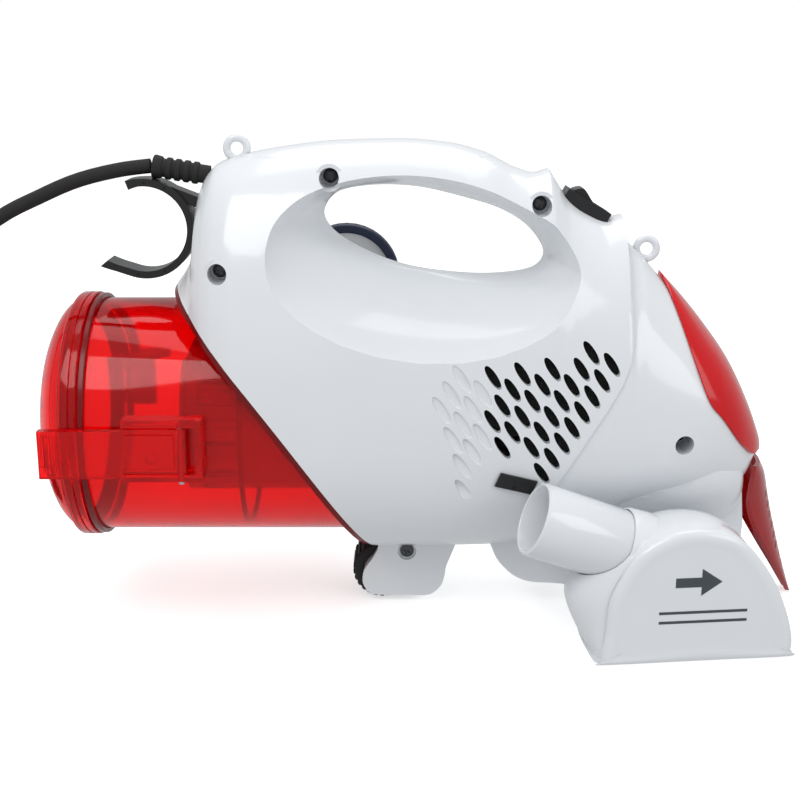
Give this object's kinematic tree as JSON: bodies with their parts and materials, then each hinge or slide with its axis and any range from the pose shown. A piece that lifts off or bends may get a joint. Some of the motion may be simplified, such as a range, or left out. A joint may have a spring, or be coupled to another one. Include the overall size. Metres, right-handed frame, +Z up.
{
  "type": "hand-held grooming vacuum with turbo brush tool",
  "caption": "Hand-held corded pet grooming vacuum with a loop handle, a clear cylindrical dust cup with a latched lid, a floor nozzle, a rear wheel and a clipped-on turbo brush tool.",
  "frame": {"origin": "middle of the footprint of machine and tool on the floor, z = 0 where the rear wheel and the tool stand", "axes": "+X towards the nozzle nose, +Y away from the side that carries the turbo tool, +Z up"},
  "size_m": [0.5589, 0.1985, 0.2321],
  "materials": {
    "white_gloss": "glossy moulded shell",
    "red_clear": "transparent tinted moulding",
    "red_gloss": "glossy tinted window",
    "dark_red": "dark tinted moulding",
    "black_plastic": "satin moulded",
    "grey_plastic": "satin moulded",
    "navy_plastic": "satin moulded",
    "black_rubber": "matt",
    "tyre_rubber": "matt with tread",
    "steel": "plain",
    "fan_alloy": "cast",
    "filter_felt": "pleated felt",
    "bristle": "nylon"
  },
  "bodies": {
    "machine": {"shell_near": "white_gloss", "shell_far": "white_gloss", "front_lens": "red_gloss", "brush_bearing_near": "grey_plastic", "brush_bearing_far": "grey_plastic", "brush_motor": "steel", "drive_belt": "black_rubber", "sole_plate": "grey_plastic", "eyelet_rear": "white_gloss", "eyelet_front": "white_gloss", "switch_frame": "black_plastic", "hose_clip": "black_plastic", "cord_gland": "black_rubber", "cord_tube": "black_rubber", "cord_coil": "black_rubber", "plug_body": "black_rubber", "plug_blade_left": "steel", "plug_blade_right": "steel", "inlet_neck": "grey_plastic", "inlet_collar": "navy_plastic", "side_clip": "black_plastic", "shell_screw_1": "steel", "shell_screw_2": "steel", "shell_screw_3": "steel", "shell_screw_4": "steel", "wheel_bracket": "white_gloss", "wheel_axle": "steel", "bracket_screw": "steel", "motor": "steel", "circuit_board": "navy_plastic"},
    "fan": {"fan": "fan_alloy"},
    "pinion": {"brush_pinion": "grey_plastic"},
    "brush": {"brush_roll": "black_plastic", "brush_bristles": "bristle"},
    "visor": {"visor": "red_clear"},
    "rocker": {"switch_rocker": "black_plastic"},
    "wheel": {"wheel_hub": "grey_plastic", "wheel_tyre": "tyre_rubber"},
    "cup": {"dust_cup": "red_clear", "cup_flange": "dark_red", "filter_frame": "red_clear", "filter_core": "filter_felt", "filter_cap": "red_clear", "hinge_knuckles": "dark_red", "hinge_pin": "steel", "lid_gasket": "black_rubber", "latch_frame": "red_clear", "latch_pin": "steel"},
    "lid": {"cup_lid": "red_clear"},
    "latch": {"lid_latch": "red_clear"},
    "tool": {"tool_housing": "white_gloss", "tool_cap_near": "white_gloss", "tool_cap_far": "white_gloss", "tool_bearing_near": "grey_plastic", "tool_bearing_far": "grey_plastic", "tool_belt": "black_rubber"},
    "tool_neck": {"tool_tube": "white_gloss"},
    "tool_brush": {"tool_roll": "black_plastic", "tool_bristles": "bristle"},
    "turbine": {"tool_turbine": "grey_plastic"}
  },
  "joints": [
    {"name": "fan_spin", "type": "hinge", "parent": "machine", "child": "fan", "pos_m": [-0.024, 0, 0.092], "axis": [1, 0, 0], "continuous": true},
    {"name": "brush_spin", "type": "hinge", "parent": "machine", "child": "brush", "pos_m": [0.142, 0, 0.0255], "axis": [0, 1, 0], "continuous": true},
    {"name": "pinion_spin", "type": "hinge", "parent": "machine", "child": "pinion", "pos_m": [0.092, 0, 0.034], "axis": [0, 1, 0], "continuous": true},
    {"name": "visor_flip", "type": "hinge", "parent": "machine", "child": "visor", "pos_m": [0.164, 0, 0.0762], "axis": [0, -1, 0], "range_deg": [0, 60]},
    {"name": "switch_rock", "type": "hinge", "parent": "machine", "child": "rocker", "pos_m": [0.07626, 0, 0.19723], "axis": [0, -1, 0], "range_deg": [0, 8]},
    {"name": "wheel_roll", "type": "hinge", "parent": "machine", "child": "wheel", "pos_m": [-0.021, 0, 0.0148], "axis": [0, 1, 0], "continuous": true},
    {"name": "cup_release", "type": "slide", "parent": "machine", "child": "cup", "axis": [-1, 0, 0], "range_m": [0, 0.05]},
    {"name": "lid_swing", "type": "hinge", "parent": "cup", "child": "lid", "pos_m": [-0.1605, 0.0644, 0.095], "axis": [0, 0, -1], "range_deg": [0, 100]},
    {"name": "latch_swing", "type": "hinge", "parent": "cup", "child": "latch", "pos_m": [-0.112, -0.0632, 0.095], "axis": [0, 0, 1], "range_deg": [0, 35]},
    {"name": "tool_unclip", "type": "slide", "parent": "machine", "child": "tool", "axis": [0, -1, 0], "range_m": [0, 0.12]},
    {"name": "tool_neck_turn", "type": "hinge", "parent": "tool", "child": "tool_neck", "pos_m": [0.0895, -0.06635, 0.049], "axis": [-0.9201, -0.1484, 0.3624], "range_deg": [-90, 90]},
    {"name": "tool_brush_spin", "type": "hinge", "parent": "tool", "child": "tool_brush", "pos_m": [0.12274, -0.05732, 0.021], "axis": [-0.1045, 0.9945, 0], "continuous": true},
    {"name": "turbine_spin", "type": "hinge", "parent": "tool", "child": "turbine", "pos_m": [0.09788, -0.05993, 0.034], "axis": [-0.1045, 0.9945, 0], "continuous": true}
  ],
  "couplings": [
    {"joint": "pinion_spin", "follows": "brush_spin", "ratio": 2.75},
    {"joint": "turbine_spin", "follows": "tool_brush_spin", "ratio": 2.1628}
  ]
}
